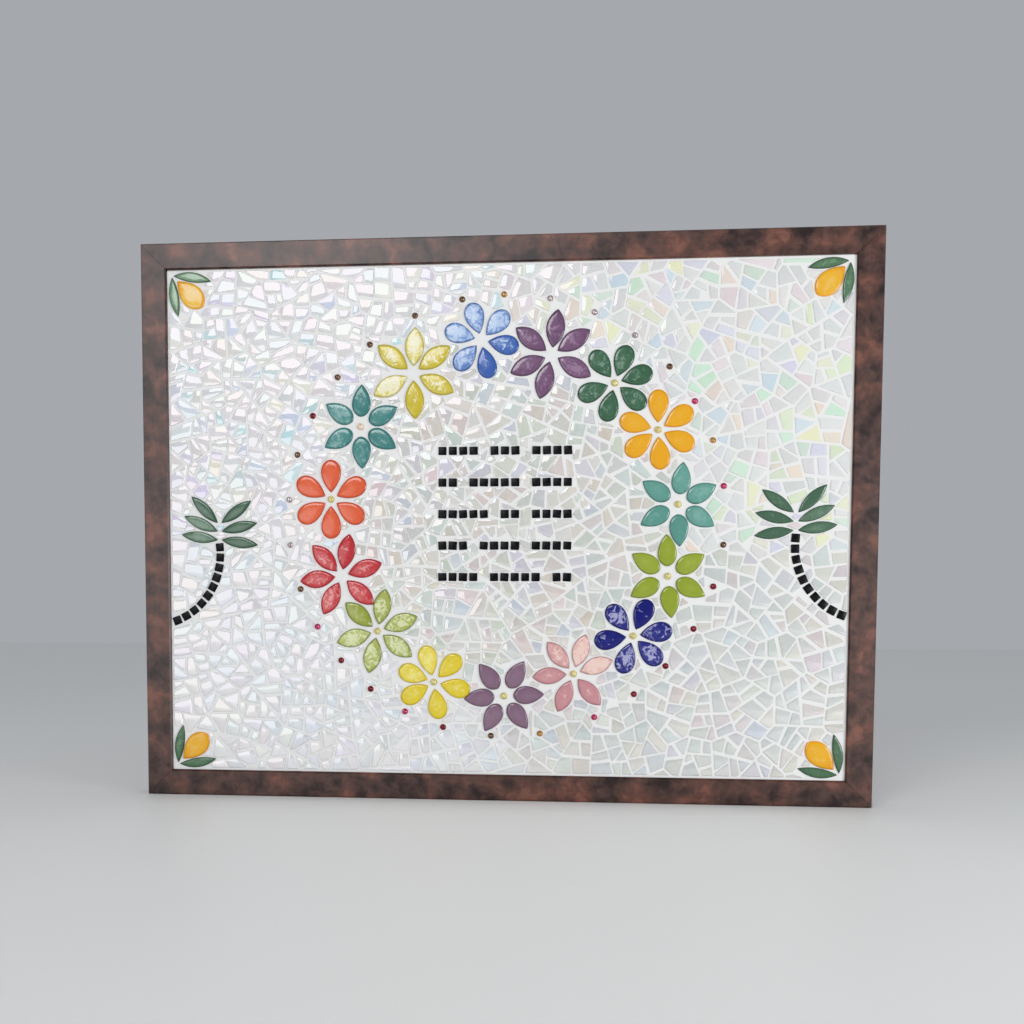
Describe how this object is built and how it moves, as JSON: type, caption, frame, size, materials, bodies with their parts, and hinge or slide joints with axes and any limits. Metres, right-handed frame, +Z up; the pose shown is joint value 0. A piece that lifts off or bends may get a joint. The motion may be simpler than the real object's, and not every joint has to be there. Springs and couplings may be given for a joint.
{
  "type": "framed mosaic wall panel",
  "caption": "Wooden frame round a white grouted mosaic of broken glass, with a ring of ceramic flowers, side palms and corner lemons, to hang on a wall.",
  "frame": {"origin": "middle of the top rail's back face, where the wall holds the panel", "axes": "+X along the panel, to the right as seen from the front; +Y into the wall; +Z up"},
  "size_m": [0.45, 0.02, 0.343],
  "materials": {
    "brown_wood": "satin",
    "board": "matte",
    "white_grout": "matte",
    "iridescent_glass": "gloss",
    "black_glaze": "gloss",
    "red_bead": "gloss",
    "gold_bead": "satin",
    "pearl_bead": "gloss",
    "pale_yellow_glaze": "gloss",
    "blue_glaze": "gloss",
    "purple_glaze": "gloss",
    "dark_green_glaze": "gloss",
    "orange_glaze": "gloss",
    "teal_right_glaze": "gloss",
    "lime_glaze": "gloss",
    "navy_glaze": "gloss",
    "pink_glaze": "gloss",
    "plum_glaze": "gloss",
    "yellow_glaze": "gloss",
    "leaf_green_glaze": "gloss",
    "red_glaze": "gloss",
    "red_orange_glaze": "gloss",
    "teal_left_glaze": "gloss",
    "palm_glaze": "gloss",
    "lemon_glaze": "gloss",
    "leaf_glaze": "gloss"
  },
  "bodies": {
    "root": {"frame_top": "brown_wood", "frame_right": "brown_wood", "frame_bottom": "brown_wood", "frame_left": "brown_wood", "backing_board": "board", "mosaic_bed": "white_grout", "flower_pale_yellow": "pale_yellow_glaze", "flower_blue": "blue_glaze", "flower_purple": "purple_glaze", "flower_dark_green": "dark_green_glaze", "flower_orange": "orange_glaze", "flower_teal_right": "teal_right_glaze", "flower_lime": "lime_glaze", "flower_navy": "navy_glaze", "flower_pink": "pink_glaze", "flower_plum": "plum_glaze", "flower_yellow": "yellow_glaze", "flower_leaf_green": "leaf_green_glaze", "flower_red": "red_glaze", "flower_red_orange": "red_orange_glaze", "flower_teal_left": "teal_left_glaze", "centre_bead_dark_green": "gold_bead", "centre_bead_orange": "gold_bead", "centre_bead_teal_right": "gold_bead", "centre_bead_lime": "gold_bead", "centre_bead_navy": "gold_bead", "centre_bead_pink": "gold_bead", "centre_bead_plum": "gold_bead", "centre_bead_yellow": "gold_bead", "centre_bead_leaf_green": "gold_bead", "centre_bead_red_orange": "gold_bead", "centre_bead_teal_left": "pearl_bead", "palm_left_frond_1": "palm_glaze", "palm_left_frond_2": "palm_glaze", "palm_left_frond_3": "palm_glaze", "palm_left_frond_4": "palm_glaze", "palm_left_frond_5": "palm_glaze", "palm_left_frond_6": "palm_glaze", "palm_right_frond_1": "palm_glaze", "palm_right_frond_2": "palm_glaze", "palm_right_frond_3": "palm_glaze", "palm_right_frond_4": "palm_glaze", "palm_right_frond_5": "palm_glaze", "palm_right_frond_6": "palm_glaze", "lemon_bottom_left": "lemon_glaze", "leaf_1_bottom_left": "leaf_glaze", "leaf_2_bottom_left": "leaf_glaze", "lemon_bottom_right": "lemon_glaze", "leaf_1_bottom_right": "leaf_glaze", "leaf_2_bottom_right": "leaf_glaze", "lemon_top_left": "lemon_glaze", "leaf_1_top_left": "leaf_glaze", "leaf_2_top_left": "leaf_glaze", "lemon_top_right": "lemon_glaze", "leaf_1_top_right": "leaf_glaze", "leaf_2_top_right": "leaf_glaze"}
  },
  "joints": []
}
